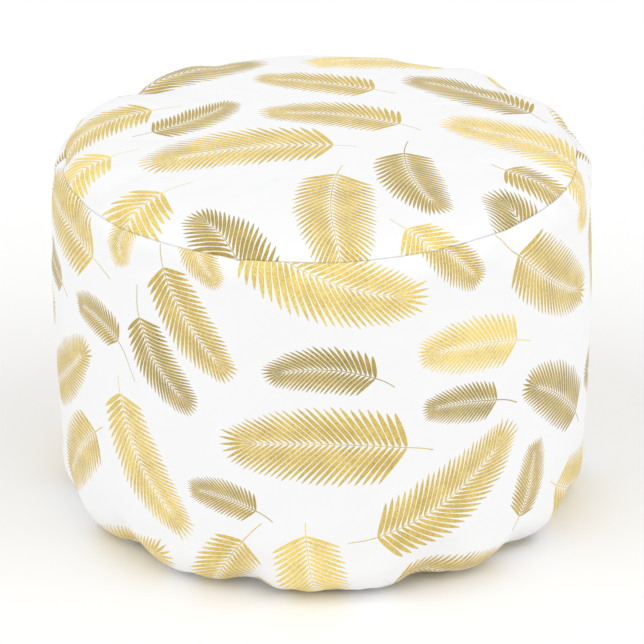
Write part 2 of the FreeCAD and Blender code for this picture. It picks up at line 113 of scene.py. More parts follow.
def top_seam(azimuth):
    """How far down the cloth the top seam runs, in metres: it sits higher at +X and at the back."""
    return (SEAM_DOWN - SEAM_RISE * np.sin(azimuth) + SEAM_DROP * np.cos(azimuth)) * MM


def place(azimuth, along):
    """Points of the plain outline, as an array with x, y, z last."""
    across = np.interp(along, ALONG, ACROSS)
    up = np.interp(along, ALONG, UP)
    return np.stack([across * np.sin(azimuth), -across * np.cos(azimuth), up], -1)


def outward(azimuth, along):
    """The outline's outward direction at those places."""
    step = 1 * MM
    across = np.interp(along + step, ALONG, ACROSS) - np.interp(along - step, ALONG, ACROSS)
    up = np.interp(along + step, ALONG, UP) - np.interp(along - step, ALONG, UP)
    size = np.maximum(np.hypot(across, up), 1e-12)
    out, rise = -up / size, across / size
    return np.stack([out * np.sin(azimuth), -out * np.cos(azimuth), rise], -1)


def smooth(low, high, x):
    t = np.clip((x - low) / (high - low), 0, 1)
    return t * t * (3 - 2 * t)


# ---- the stuffed shape: seams that hold the cloth in, then a cloth simulation ----

SIM_AROUND, SIM_DOWN = 360, 150
SIM_TOP, SIM_BASE = -140 * MM, BASE_SEAM + 75 * MM
SIM_FRAMES = 20
SIM_LIMIT = 3 * MM
SIM_SHARE, SIM_GAIN = 0.3, 0.4  # the share of the simulated shift kept on top, and the band's extra
SEED_WAVES, SEED_HEIGHT = 26, 0.16 * MM
# each unevenness of the stuffing: turns round the pouf, where they start, waves down the cloth in
# radians to a metre, where they start, and millimetres out
UNEVEN = [(3, 0.6, 13, 1.0, 1.3), (7, 2.1, 24, 0.4, 0.8)]
RIM_LIFT, RIM_LIFT_START = 1.5 * MM, 0.25  # the shoulder is fuller towards +X
TOP_PUFF, PUFF_START, PUFF_REACH = 12 * MM, 8 * MM, 32 * MM
# where folds at the base seam pull the cloth in: azimuth in degrees, depth and half-width
GATHERS = [
    (-152, 7, 8), (-131, 6, 7), (-113, 6, 7), (-72, 6, 7), (-47, 8, 8), (-17, 11, 8), (4, 3, 6),
    (23, 11, 9), (47, 6, 8), (70, 6, 7), (112, 7, 7), (134, 6, 8), (153, 8, 9), (176, 7, 8),
]
# where the top seam puckers: azimuth in degrees, depth and half-width
PUCKERS = [
    (-170, 3, 5), (-141, 4, 6), (-116, 4, 6), (-88, 5, 5), (-66, 4, 5), (-49, 6, 2.5), (-18, 6, 2),
    (3, 2, 5), (24, 2, 4), (43, 3, 4), (66, 3, 4), (86, 5, 5), (109, 4, 6), (133, 5, 6),
    (158, 4, 5),
]
# where the shoulder is less full, or fuller: azimuth in degrees, depth and half-width
DENTS = [
    (-143, -4, 7), (-127.5, 10, 5), (-114, -3, 6), (-62, 2, 8), (-8, 1, 20), (100, 3, 12),
    (128, 2, 5), (141, -4, 7), (180, 1, 22),
]


def pulled_in(azimuth, pulls):
    """How deep the pulls reach at each azimuth, in metres."""
    total = np.zeros(np.shape(azimuth))
    for where, depth, width in pulls:
        apart = (azimuth - math.radians(where) + math.pi) % (2 * math.pi) - math.pi
        total += depth * MM * np.exp(-1.6 * (apart / math.radians(width)) ** 2)
    return total


def swell(azimuth, along):
    """How far the cloth stands out from the plain outline: the top is full, the stuffing is uneven,
    and folds and puckers pull the cloth in at the seams."""
    inside = np.maximum(top_seam(azimuth) - along - PUFF_START, 0)
    out = TOP_PUFF * (1 - np.exp(-inside / PUFF_REACH))
    rim = np.exp(-(((along - 10 * MM) / (45 * MM)) ** 2))
    lift = RIM_LIFT * np.sin(azimuth + RIM_LIFT_START)
    out = out + rim * (lift - pulled_in(azimuth, DENTS))
    uneven = sum(
        np.sin(turns * azimuth + start) * np.sin(along * waves + low_start) * size
        for turns, start, waves, low_start, size in UNEVEN
    )
    band = smooth(5 * MM, 60 * MM, along) * (1 - smooth(BASE_SEAM - 60 * MM, BASE_SEAM, along))
    low = smooth(BASE_SEAM - 85 * MM, BASE_SEAM - 15 * MM, along)
    low = low * (1 - smooth(BASE_SEAM + 8 * MM, BASE_SEAM + 40 * MM, along))
    high = np.exp(-(((along - top_seam(azimuth)) / (12 * MM)) ** 2))
    pulls = pulled_in(azimuth, GATHERS) * low + pulled_in(azimuth, PUCKERS) * high
    return out + uneven * MM * band - pulls


def local_axes(azimuth, along):
    """At each place: outwards, down the cloth, and round the pouf."""
    out = outward(azimuth, along)
    around = np.stack([np.cos(azimuth), np.sin(azimuth), np.zeros(np.shape(azimuth))], -1)
    return out, np.cross(out, around), around


def seeds(azimuth, along):
    """Small waves that the simulation grows its wrinkles from."""
    total = np.zeros(azimuth.shape)
    for _ in range(SEED_WAVES):
        turns, waves = int(rng.integers(8, 40)), rng.uniform(4, 20)
        start = rng.uniform(0, 2 * math.pi)
        total += np.sin(turns * azimuth + waves * along * 2 * math.pi + start)
    return total * SEED_HEIGHT


def simulate():
    """Presses the cover out from inside as cloth that is a little too large for its seams. Returns
    how far each grid point moved, without what is the same all round the pouf."""
    azimuth, along = np.meshgrid(
        np.linspace(-math.pi, math.pi, SIM_AROUND, endpoint=False),
        np.linspace(SIM_TOP, SIM_BASE, SIM_DOWN),
    )
    axes = local_axes(azimuth, along)
    plain = place(azimuth, along) + axes[0] * swell(azimuth, along)[..., None]
    start = plain + axes[0] * seeds(azimuth, along)[..., None]
    moved = run_cloth(start, azimuth, along) - plain
    parts = [np.sum(moved * axis, -1) for axis in axes]
    parts = [part - part.mean(1, keepdims=True) for part in parts]
    shift = sum(part[..., None] * axis for part, axis in zip(parts, axes))
    shift = shift * (SIM_SHARE + SIM_GAIN * smooth(0, 40 * MM, along))[..., None]
    size = np.linalg.norm(shift, axis=-1, keepdims=True)
    shift = shift * np.minimum(1, SIM_LIMIT / np.maximum(size, 1e-9))
    held = smooth(SIM_TOP, SIM_TOP + 60 * MM, along)
    held = held * (1 - smooth(BASE_SEAM + 10 * MM, SIM_BASE, along))
    return shift * held[..., None]


def run_cloth(points, azimuth, along):
    """Cloth pressed outwards for SIM_FRAMES frames, held at its two rims."""
    rows, columns = points.shape[:2]
    index = np.arange(rows * columns).reshape(rows, columns)
    mesh = bpy.data.meshes.new("stuffing_press")
    faces = grid_faces(rows, columns, closed=True)
    mesh.from_pydata(points.reshape(-1, 3).tolist(), [], faces)
    cloth_object = bpy.data.objects.new("stuffing_press", mesh)
    bpy.context.collection.objects.link(cloth_object)
    held = cloth_object.vertex_groups.new(name="held")
    held.add(index[[0, 1, -2, -1]].ravel().tolist(), 1.0, "REPLACE")
    sewn = cloth_object.vertex_groups.new(name="sewn")
    near_top = np.exp(-(((along - top_seam(azimuth)) / (4.5 * MM)) ** 2))
    near_base = np.exp(-(((along - BASE_SEAM) / (5 * MM)) ** 2))
    weight = np.maximum(near_top, near_base).ravel()
    for vertex in np.flatnonzero(weight > 0.02):
        sewn.add([int(vertex)], float(weight[vertex]), "REPLACE")
    modifier = cloth_object.modifiers.new("cloth", "CLOTH")
    settings = modifier.settings
    settings.quality = 6
    settings.mass = 0.25
    settings.tension_stiffness = 40
    settings.compression_stiffness = 30
    settings.shear_stiffness = 15
    settings.bending_stiffness = 6
    settings.air_damping = 4
    settings.use_pressure = True
    settings.uniform_pressure_force = 4
    settings.vertex_group_mass = "held"
    settings.vertex_group_shrink = "sewn"
    settings.shrink_min = -0.018
    settings.shrink_max = 0.02
    settings.effector_weights.gravity = 0
    modifier.collision_settings.use_collision = False
    modifier.point_cache.frame_start = 1
    modifier.point_cache.frame_end = SIM_FRAMES
    scene = bpy.context.scene
    for number in range(1, SIM_FRAMES + 1):
        scene.frame_set(number)
    graph = bpy.context.evaluated_depsgraph_get()
    found = cloth_object.evaluated_get(graph).to_mesh()
    flat = np.zeros(len(found.vertices) * 3, np.float32)
    found.vertices.foreach_get("co", flat)
    bpy.data.objects.remove(cloth_object)
    bpy.data.meshes.remove(mesh)
    scene.frame_set(1)
    return flat.reshape(rows, columns, 3).astype(float)


def grid_faces(rows, columns, closed=False):
    """Faces of a grid whose columns go round and whose rows go down the cloth."""
    index = np.arange(rows * columns).reshape(rows, columns)
    if closed:
        index = np.concatenate([index, index[:, :1]], axis=1)
    corners = [index[1:, :-1], index[1:, 1:], index[:-1, 1:], index[:-1, :-1]]
    return np.stack(corners, -1).reshape(-1, 4).tolist()


SHIFT = simulate()


def spline_weights(t):
    """The four weights of a uniform cubic B-spline."""
    return (
        (1 - t) ** 3 / 6,
        (3 * t**3 - 6 * t**2 + 4) / 6,
        (-3 * t**3 + 3 * t**2 + 3 * t + 1) / 6,
        t**3 / 6,
    )


def shift_at(azimuth, along):
    """The simulated shift at any place, from the grid by smooth interpolation."""
    u = (azimuth + math.pi) / (2 * math.pi) * SIM_AROUND
    v = (along - SIM_TOP) / (SIM_BASE - SIM_TOP) * (SIM_DOWN - 1)
    v = np.clip(v, 0, SIM_DOWN - 1.001)
    u0, v0 = np.floor(u).astype(int), np.floor(v).astype(int)
    total = np.zeros(np.shape(u) + (3,))
    for i, wu in enumerate(spline_weights(u - u0)):
        for j, wv in enumerate(spline_weights(v - v0)):
            row = np.clip(v0 + j - 1, 0, SIM_DOWN - 1)
            total += SHIFT[row, (u0 + i - 1) % SIM_AROUND] * (wu * wv)[..., None]
    return total


def cover_point(azimuth, along, depth=0.0):
    """Where the stuffed cover lies, or a skin that far under it."""
    azimuth, along = np.broadcast_arrays(np.asarray(azimuth, float), np.asarray(along, float))
    depth = np.broadcast_to(depth, azimuth.shape)
    point = place(azimuth, along) + shift_at(azimuth, along)
    point = point + outward(azimuth, along) * (swell(azimuth, along) - depth)[..., None]
    point[..., 2] = np.maximum(point[..., 2], depth)
    return point


# ---- meshes ----


def make_object(name, points, faces):
    """A smooth mesh that rides on the pouf."""
    mesh = bpy.data.meshes.new(name)
    mesh.from_pydata(np.asarray(points).reshape(-1, 3).tolist(), [], faces)
    mesh.update()
    mesh.polygons.foreach_set("use_smooth", [True] * len(mesh.polygons))
    made = bpy.data.objects.new(name, mesh)
    bpy.context.collection.objects.link(made)
    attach(made, "pouf")
    return made


def seam_roll(apart, reach, depth):
    """How deep cloth sinks into a seam, at a distance from it."""
    return depth * np.clip(1 - apart / reach, 0, 1) ** 2


def thicken(made, thickness):
    """Gives a skin its cloth's thickness, inwards."""
    modifier = made.modifiers.new("cloth thickness", "SOLIDIFY")
    modifier.thickness = thickness
    modifier.offset = -1


def tube(name, path, radius, closed=False, sides=6):
    """A thread or wire of that radius along a list of points."""
    path = np.asarray(path, float)
    if closed:
        ahead = np.roll(path, -1, 0) - np.roll(path, 1, 0)
    else:
        ahead = np.gradient(path, axis=0)
    ahead /= np.maximum(np.linalg.norm(ahead, axis=1, keepdims=True), 1e-12)
    up = np.where(np.abs(ahead[:, 2:]) < 0.8, [[0.0, 0.0, 1.0]], [[0.0, 1.0, 0.0]])
    side = np.cross(ahead, up)
    side /= np.linalg.norm(side, axis=1, keepdims=True)
    top = np.cross(side, ahead)
    turn = np.linspace(0, 2 * math.pi, sides, endpoint=False)
    rim = side[:, None] * np.cos(turn)[None, :, None] + top[:, None] * np.sin(turn)[None, :, None]
    points = path[:, None] + rim * radius
    index = np.arange(len(path) * sides).reshape(len(path), sides)
    rows = np.concatenate([index, index[:1]]) if closed else index
    rows = np.concatenate([rows, rows[:, :1]], axis=1)
    corners = [rows[:-1, :-1], rows[:-1, 1:], rows[1:, 1:], rows[1:, :-1]]
    faces = np.stack(corners, -1).reshape(-1, 4).tolist()
    if not closed:
        faces += [index[0, ::-1].tolist(), index[-1].tolist()]
    return make_object(name, points, faces)


# ---- the print: fronds strewn over the flat panels ----
# A place on a flat panel is (x, y) in millimetres of cloth. On the band, x runs round it from the
# middle of its half, and y is 0 at the rim and falls towards the floor. On a round panel, (0, 0) is
# the panel's middle.

RIB_END = 0.83  # as a share of the frond's length
LEAN, LEAN_GROWTH = 0.48, 1.2  # how far a leaflet runs along the rib as it goes out from it
FAN_STEPS = 2.5  # leaflets of the fan at the rib's end, to each side of its middle
FAN_LENGTH = 0.19  # from the rib's end
# a leaflet's length: the longest against the frond's reach, its share at the base, and how much it
# swells along the rib and loses at the tip
LONGEST, LENGTH_BASE, LENGTH_SWELL, LENGTH_LOSS = 1.27, 0.74, 1.04, 0.17
RIB_WIDTH = 1.05  # millimetres at the stem
LEAFLETS, LEAFLETS_LONG, LONG = 20, 24, 130  # on each side, and on fronds over that many millimetres
STEM_BEND = 3.0  # how much more sharply the stem bends than the rib
STRAY = 2.5  # millimetres of plain cloth round a frond that still belong to it


class Frond:
    """A frond from base to tip, in millimetres. Left and right are its reach to each side, as seen
    with it growing away from the eye. Tone 0 is dark gold and 1 is pale."""

    def __init__(self, base, tip, bend, left, right, tone, stem):
        self.base = np.array(base, float)
        run = np.array(tip, float) - self.base
        self.length = float(np.hypot(*run))
        self.run = run / self.length
        self.bend = bend / self.length
        self.left, self.right = left / self.length, right / self.length
        self.tone, self.stem = tone, stem / self.length
        self.leaflets = LEAFLETS_LONG if self.length > LONG else LEAFLETS

    def rib(self, along):
        """How far left of the line from base to tip the rib and stem run, and how steeply."""
        stem_bend = np.where(along < 0, STEM_BEND, 1.0)
        left = 4 * self.bend * along * (1 - stem_bend * along)
        return left, 4 * self.bend * (1 - 2 * stem_bend * along)

    def footprint(self):
        """Circles that roughly cover the frond and its stem, each (x, y, radius) in millimetres."""
        along = np.linspace(-self.stem, 1, 12)
        left, _ = self.rib(along)
        fullness = np.sin(math.pi * np.clip(0.1 + 0.85 * along, 0, 1))
        radius = max(self.left, self.right) * np.sqrt(fullness)
        x = self.base[0] + (along * self.run[0] - left * self.run[1]) * self.length
        y = self.base[1] + (along * self.run[1] + left * self.run[0]) * self.length
        return np.stack([x, y, radius * self.length], -1)

    def local(self, x, y):
        """(along the rib from 0 to 1, left of the rib), both as shares of the frond's length."""
        dx, dy = x - self.base[0], y - self.base[1]
        along = (dx * self.run[0] + dy * self.run[1]) / self.length
        left = (-dx * self.run[1] + dy * self.run[0]) / self.length
        rib_left, slope = self.rib(along)
        left = left - rib_left
        return along + slope * left, left

    def outside(self, x, y):
        """How far outside the frond's outline a place is, in millimetres."""
        along, left = self.local(x, y)
        out = np.abs(left)
        foot = (along - LEAN * out) / (1 + LEAN_GROWTH * out)
        lean = LEAN + LEAN_GROWTH * foot
        reach = np.where(left > 0, self.left, self.right)
        up = np.clip(foot / RIB_END, 0, 1)
        longest = LENGTH_BASE + LENGTH_SWELL * up * (1 - up) - LENGTH_LOSS * up**3
        longest = reach * LONGEST * longest
        body = np.maximum(out * np.sqrt(1 + lean * lean) - longest, -foot)
        fan = np.hypot(along - RIB_END, out) - FAN_LENGTH
        blade = np.where(foot > RIB_END, fan, body)
        stalk = np.maximum(out - 0.01, np.maximum(-self.stem - along, along))
        return np.minimum(blade, stalk) * self.length


LONGEST_FROND, SHORTER = 178, 0.974  # millimetres, and each frond's length against the last one's
REACH, REACH_GROWTH = 7, 0.185  # a side's reach: millimetres, and its growth with the length
REACH_SPREAD = 0.9, 1.15  # each side's own share of that reach
BEND = 0.03, 0.11  # least and most, against the frond's length
STEM = 12, 30  # least and most, in millimetres
CLEAR = 1  # millimetre of plain cloth between two footprints
TRIES = 1500  # places tried for a frond before it is left out


def strewn(seed, count, middle, half_size):
    """Up to that many fronds strewn over a flat stretch of cloth, long ones first, each where it
    clears all those before it."""
    draw = np.random.default_rng(seed)
    fronds, taken = [], np.zeros((0, 3))
    for length in LONGEST_FROND * SHORTER ** np.arange(count):
        for _ in range(TRIES):
            heading = draw.uniform(0, 2 * math.pi)
            run = np.array([math.cos(heading), math.sin(heading)]) * length
            base = middle + draw.uniform(-1, 1, 2) * half_size - run / 2
            left, right = (REACH + REACH_GROWTH * length) * draw.uniform(*REACH_SPREAD, 2)
            bend = -length * draw.uniform(*BEND)
            tone, stem = draw.random(), draw.uniform(*STEM)
            frond = Frond(base, base + run, bend, left, right, tone, stem)
            cover = frond.footprint()
            apart = np.hypot(cover[:, None, 0] - taken[:, 0], cover[:, None, 1] - taken[:, 1])
            if (apart - cover[:, None, 2] - taken[:, 2] > CLEAR).all():
                fronds.append(frond)
                taken = np.concatenate([taken, cover])
                break
    return fronds


# some of their middles lie at the panels' seams or past them, so the seams cut those fronds off
BAND_FRONDS = strewn(4, 44, middle=(0, -205), half_size=(410, 185))
ROUND_FRONDS = strewn(6, 26, middle=(0, 0), half_size=(235, 235))


def print_fronds(made, flat, fronds):
    """Gives each face its nearest frond, each corner its place in that frond, and each corner its
    place on the flat cloth in millimetres."""
    mesh = made.data
    corners = np.zeros(len(mesh.loops), np.int64)
    mesh.loops.foreach_get("vertex_index", corners)
    totals = np.zeros(len(mesh.polygons), np.int64)
    mesh.polygons.foreach_get("loop_total", totals)
    face_of = np.repeat(np.arange(len(totals)), totals)
    corner_flat = flat[corners]
    middle = np.stack([np.bincount(face_of, corner_flat[:, k]) / totals for k in (0, 1)], -1)
    away = np.stack([f.outside(middle[:, 0], middle[:, 1]) for f in fronds])
    best, how_far = away.argmin(0), away.min(0)
    place_in = np.full((len(corners), 3), -9.0)
    shape = np.zeros((len(totals), 3))
    habit = np.ones((len(totals), 3))
    for number, frond in enumerate(fronds):
        mine = (best == number) & (how_far < STRAY)
        at = mine[face_of]
        along, left = frond.local(corner_flat[at, 0], corner_flat[at, 1])
        place_in[at] = np.stack([along, left, np.full(len(along), frond.stem)], -1)
        shape[mine] = (frond.left, frond.right, frond.tone)
        habit[mine] = (RIB_END / frond.leaflets, RIB_WIDTH / 2 / frond.length, 0)
    write_attribute(mesh, "frond_place", "CORNER", place_in)
    write_attribute(mesh, "frond_shape", "FACE", shape)
    write_attribute(mesh, "frond_habit", "FACE", habit)
    flat_place = np.concatenate([corner_flat, np.zeros((len(corners), 1))], 1)
    write_attribute(mesh, "cloth_place", "CORNER", flat_place)


def write_attribute(mesh, name, domain, values):
    made = mesh.attributes.new(name, "FLOAT_VECTOR", domain)
    made.data.foreach_set("vector", np.asarray(values, np.float32).ravel())


# ---- materials ----


class Wire:
    """A value in a node tree, so that a formula can be written as one."""

    def __init__(self, tree, socket):
        self.tree, self.socket = tree, socket

    def math(self, operation, *others, clamp=False):
        node = self.tree.nodes.new("ShaderNodeMath")
        node.operation, node.use_clamp = operation, clamp
        for slot, value in zip(node.inputs, (self, *others)):
            if isinstance(value, Wire):
                self.tree.links.new(value.socket, slot)
            else:
                slot.default_value = value
        return Wire(self.tree, node.outputs[0])

    def __add__(self, other):
        return self.math("ADD", other)

    def __sub__(self, other):
        return self.math("SUBTRACT", other)

    def __mul__(self, other):
        return self.math("MULTIPLY", other)

    def __truediv__(self, other):
        return self.math("DIVIDE", other)

    def mix(self, other, share):
        """self where share is 0, and other where it is 1."""
        return self * (share * -1.0 + 1.0) + other * share

    def step(self, low, high):
        """0 below low and 1 above high, smooth between."""
        node = self.tree.nodes.new("ShaderNodeMapRange")
        node.interpolation_type = "SMOOTHSTEP"
        self.tree.links.new(self.socket, node.inputs["Value"])
        node.inputs["From Min"].default_value = low
        node.inputs["From Max"].default_value = high
        return Wire(self.tree, node.outputs["Result"])


def attribute(tree, name):
    node = tree.nodes.new("ShaderNodeAttribute")
    node.attribute_name = name
    return split_vector(tree, node.outputs["Vector"])


def split_vector(tree, socket):
    split = tree.nodes.new("ShaderNodeSeparateXYZ")
    tree.links.new(socket, split.inputs[0])
    return [Wire(tree, split.outputs[k]) for k in range(3)]


def object_place(tree):
    node = tree.nodes.new("ShaderNodeTexCoord")
    return node.outputs["Object"]


def leaflet_width(share):
    """A leaflet's width along its length, at most about 1: it widens quickly at the rib, and its
    other end is pointed."""
    near = share.math("MAXIMUM", 0.0).math("POWER", 0.4)
    return near * (share * -1.0 + 1.0).math("MAXIMUM", 0.0).math("POWER", 0.7) * 2.02


def uneven_leaflets(tree, number, is_left, seed):
    """Each leaflet's own small difference in length, round 1."""
    noise = tree.nodes.new("ShaderNodeTexWhiteNoise")
    noise.noise_dimensions = "2D"
    pair = tree.nodes.new("ShaderNodeCombineXYZ")
    tree.links.new((number + is_left * 40.0).socket, pair.inputs[0])
    tree.links.new(seed.socket, pair.inputs[1])
    tree.links.new(pair.outputs[0], noise.inputs["Vector"])
    return Wire(tree, noise.outputs["Value"]) * 0.08 + 0.96


EDGE = 0.0005  # half the blur at a leaflet's edge
LEAFLET_HALF = 0.445  # half of a leaflet's greatest width, against the leaflets' spacing
FAN_HALF, FAN_SPREAD_HALF = 0.32, 0.42  # the same in the fan, against the pitch and the rays' gap


def frond_ink(tree):
    """1 where the frond is printed, from its stem, rib, slanted leaflets and the fan at its tip."""
    along, left, stem = attribute(tree, "frond_place")
    reach_left, reach_right, tone = attribute(tree, "frond_shape")
    pitch, rib_width, _ = attribute(tree, "frond_habit")
    is_left = left.step(-0.0001, 0.0001)
    reach = reach_right.mix(reach_left, is_left)
    out = left.math("ABSOLUTE")
    foot = (along - out * LEAN) / (out * LEAN_GROWTH + 1.0)
    lean = foot * LEAN_GROWTH + LEAN
    slope = (lean * lean + 1.0).math("INVERSE_SQRT")
    count = foot / pitch
    number = count.math("FLOOR")
    up = foot / RIB_END
    longest = up * (up * -1.0 + 1.0) * LENGTH_SWELL + LENGTH_BASE - up * up * up * LENGTH_LOSS
    longest = reach * LONGEST * longest
    longest = longest * uneven_leaflets(tree, number, is_left, tone + reach)
    share = (out - rib_width) / slope / longest
    spacing = (out * LEAN_GROWTH + 1.0) * slope * pitch
    off = (count - number - 0.5).math("ABSOLUTE") * spacing
    body = (leaflet_width(share) * spacing * LEAFLET_HALF - off).step(-EDGE, EDGE)
    body = body * foot.step(0.0, 0.002) * (foot * -1.0 + RIB_END).step(-0.001, 0.001)
    body = body * (share * -1.0 + 1.0).step(0.0, 0.01)
    past = along - RIB_END
    ray = (past * past + out * out).math("SQRT")
    step = math.atan(1 / (LEAN + LEAN_GROWTH * RIB_END)) / FAN_STEPS
    fan_count = out.math("ARCTAN2", past) / step
    fan_off = (fan_count - fan_count.math("ROUND")).math("ABSOLUTE") * step * ray
    fan_half = leaflet_width(ray / FAN_LENGTH) * pitch * FAN_HALF
    fan_half = fan_half.math("MINIMUM", ray * step * FAN_SPREAD_HALF)
    fan = (fan_half - fan_off).step(-EDGE, EDGE)
    fan = fan * (ray * -1.0 + FAN_LENGTH).step(0.0, 0.002)
    fan = fan * (foot - RIB_END).step(-0.001, 0.001)
    on_rib = (along + stem).step(0.0, 0.004) * (past * -1.0 + 0.02).step(0.0, 0.004)
    thick = rib_width * ((past * -1.0).math("MAXIMUM", 0.0) * 0.45 + 0.6)
    rib = (thick - out).step(-EDGE, EDGE) * on_rib
    return body.math("MAXIMUM", fan).math("MAXIMUM", rib), tone


def mix_colour(tree, share, first, second):
    node = tree.nodes.new("ShaderNodeMix")
    node.data_type = "RGBA"
    tree.links.new(share.socket, node.inputs[0])
    for slot, value in ((node.inputs[6], first), (node.inputs[7], second)):
        if isinstance(value, tuple):
            slot.default_value = (*value, 1)
        else:
            tree.links.new(value, slot)
    return node.outputs[2]


def noise_value(tree, scale, detail=2.0):
    """A noise over the piece's own place, in metres."""
    node = tree.nodes.new("ShaderNodeTexNoise")
    node.inputs["Scale"].default_value = scale
    node.inputs["Detail"].default_value = detail
    tree.links.new(object_place(tree), node.inputs["Vector"])
    return Wire(tree, node.outputs["Fac"])


def crossed_waves(across, down, waves):
    """A plain weave: threads that pass over and under each other."""
    return (across * waves).math("SINE") * (down * waves).math("SINE")


def add_bump(tree, height, strength, distance):
    bump = tree.nodes.new("ShaderNodeBump")
    bump.inputs["Strength"].default_value = strength
    bump.inputs["Distance"].default_value = distance
    tree.links.new(height.socket, bump.inputs["Height"])
    tree.links.new(bump.outputs["Normal"], tree.nodes["Principled BSDF"].inputs["Normal"])


def new_material(name, base, roughness, **sockets):
    """A Principled material, its node tree and its shader."""
    material = bpy.data.materials.new(name)
    material.use_nodes = True
    tree = material.node_tree
    shader = tree.nodes["Principled BSDF"]
    shader.inputs["Base Color"].default_value = (*base, 1)
    shader.inputs["Roughness"].default_value = roughness
    for socket, number in sockets.items():
        shader.inputs[socket.replace("_", " ")].default_value = number
    return material, tree, shader


WHITE = (0.91, 0.912, 0.92)
DARK_GOLD = (0.315, 0.243, 0.061)
GOLD = (0.61, 0.44, 0.095)
PALE_GOLD = (0.93, 0.73, 0.22)


def printed_cloth():
    """White woven polyester with gold fronds, mottled as foil is."""
    material, tree, shader = new_material("printed cloth", WHITE, 0.7, Sheen_Weight=0.08)
    ink, tone = frond_ink(tree)
    mottle = noise_value(tree, 500.0, 3.0).step(0.3, 0.7)
    patch = noise_value(tree, 45.0, 2.0).step(0.25, 0.75)
    bright = tone * 0.75 + mottle * 0.3 + patch * 0.22 - 0.06
    low = mix_colour(tree, (bright * 2.0).math("ADD", 0.0, clamp=True), DARK_GOLD, GOLD)
    gold = mix_colour(tree, (bright * 2.0 - 1.0).math("ADD", 0.0, clamp=True), low, PALE_GOLD)
    tree.links.new(mix_colour(tree, ink, WHITE, gold), shader.inputs["Base Color"])
    across, down, _ = attribute(tree, "cloth_place")
    slubs = noise_value(tree, 900.0, 1.0)
    add_bump(tree, crossed_waves(across, down, 2 * math.pi / 1.1) + slubs * 0.8, 0.25, 0.00012)
    return material


def tape_material():
    """The zipper's woven tape, with its weave laid along x and y."""
    base, waves_per_mm = (0.88, 0.88, 0.86), 1.4
    material, tree, shader = new_material("zipper tape", base, 0.8, Sheen_Weight=0.1)
    x, y, z = split_vector(tree, object_place(tree))
    weave = crossed_waves(x + z, y - z, 2 * math.pi * waves_per_mm / MM)
    darker = tuple(channel * 0.9 for channel in base)
    spots = noise_value(tree, 700.0, 2.0).step(0.35, 0.75)
    tree.links.new(mix_colour(tree, spots, base, darker), shader.inputs["Base Color"])
    add_bump(tree, weave + spots * 0.4, 0.4, 0.00015)
    return material


def thread_material():
    """Twisted polyester thread."""
    material, tree, shader = new_material("thread", (0.9, 0.9, 0.89), 0.55, Sheen_Weight=0.15)
    x, y, z = split_vector(tree, object_place(tree))
    twist = ((x + y + z) * (2 * math.pi / (0.7 * MM))).math("SINE")
    colour = mix_colour(tree, twist.step(-1, 1), (0.92, 0.92, 0.91), (0.8, 0.8, 0.79))
    tree.links.new(colour, shader.inputs["Base Color"])
    add_bump(tree, twist, 0.4, 0.0001)
    return material


def nylon():
    """The zipper's coil: smooth plastic with a little haze."""
    white = (0.9, 0.9, 0.87)
    material, tree, shader = new_material("nylon coil", white, 0.32, Specular_IOR_Level=0.5)
    haze = noise_value(tree, 1500.0, 2.0)
    tree.links.new((haze * 0.12 + 0.26).socket, shader.inputs["Roughness"])
    add_bump(tree, haze, 0.15, 0.00004)
    return material


def nickel():
    """The slider, its pull and the stops: cast metal, plated and tumbled."""
    material, tree, shader = new_material("nickel plate", (0.72, 0.7, 0.67), 0.25, Metallic=1.0)
    grain = noise_value(tree, 2400.0, 3.0)
    dull = noise_value(tree, 300.0, 2.0).step(0.35, 0.8)
    tree.links.new((grain * 0.14 + dull * 0.12 + 0.16).socket, shader.inputs["Roughness"])
    tree.links.new(
        mix_colour(tree, dull, (0.74, 0.72, 0.69), (0.6, 0.58, 0.55)), shader.inputs["Base Color"]
    )
    add_bump(tree, grain, 0.12, 0.00004)
    return material


def nonwoven():
    """The inner bag: pressed fibres with a grid of small bonding dimples."""
    material, tree, shader = new_material("inner bag", (0.93, 0.93, 0.92), 0.85, Sheen_Weight=0.1)
    dimples = tree.nodes.new("ShaderNodeTexVoronoi")
    dimples.inputs["Scale"].default_value = 420.0
    tree.links.new(object_place(tree), dimples.inputs["Vector"])
    pits = Wire(tree, dimples.outputs["Distance"]).step(0.1, 0.4)
    tree.links.new(
        mix_colour(tree, pits, (0.86, 0.86, 0.86), (0.94, 0.94, 0.93)), shader.inputs["Base Color"]
    )
    add_bump(tree, pits + noise_value(tree, 1200.0) * 0.4, 0.5, 0.0002)
    return material


def beads():
    """The filling: packed polystyrene beads, three to four millimetres across, with painted shade in
    the gaps between them.
    """
    material, tree, shader = new_material("polystyrene beads", (0.95, 0.95, 0.94), 0.6)
    cells = tree.nodes.new("ShaderNodeTexVoronoi")
    cells.inputs["Scale"].default_value = 270.0
    tree.links.new(object_place(tree), cells.inputs["Vector"])
    bead_shape_and_gap_shade = Wire(tree, cells.outputs["Distance"])
    # painted shade: the colour turns dark grey towards the cell edges, in the gaps between the beads
    tree.links.new(
        mix_colour(tree, bead_shape_and_gap_shade.step(0.3, 0.8), (0.96, 0.96, 0.95), (0.6, 0.6, 0.6)),
        shader.inputs["Base Color"],
    )
    add_bump(tree, bead_shape_and_gap_shade * -1.0, 0.8, 0.0015)
    return material


def satin():
    """The care label: a blank ribbon with fine ribs."""
    white = (0.94, 0.94, 0.93)
    material, tree, shader = new_material("satin ribbon", white, 0.35, Sheen_Weight=0.3)
    x, _, _ = split_vector(tree, object_place(tree))
    ribs = (x * (2 * math.pi / (0.5 * MM))).math("SINE")
    spots = noise_value(tree, 900.0)
    tree.links.new(
        mix_colour(tree, spots, (0.96, 0.96, 0.95), (0.89, 0.89, 0.88)), shader.inputs["Base Color"]
    )
    add_bump(tree, ribs + spots * 0.5, 0.3, 0.00008)
    return material


MATERIALS = {
    "printed_cloth": printed_cloth(),
    "thread": thread_material(),
    "label_cloth": satin(),
    "zipper_tape": tape_material(),
    "zipper_coil": nylon(),
    "zipper_metal": nickel(),
    "liner_cloth": nonwoven(),
    "filling": beads(),
}


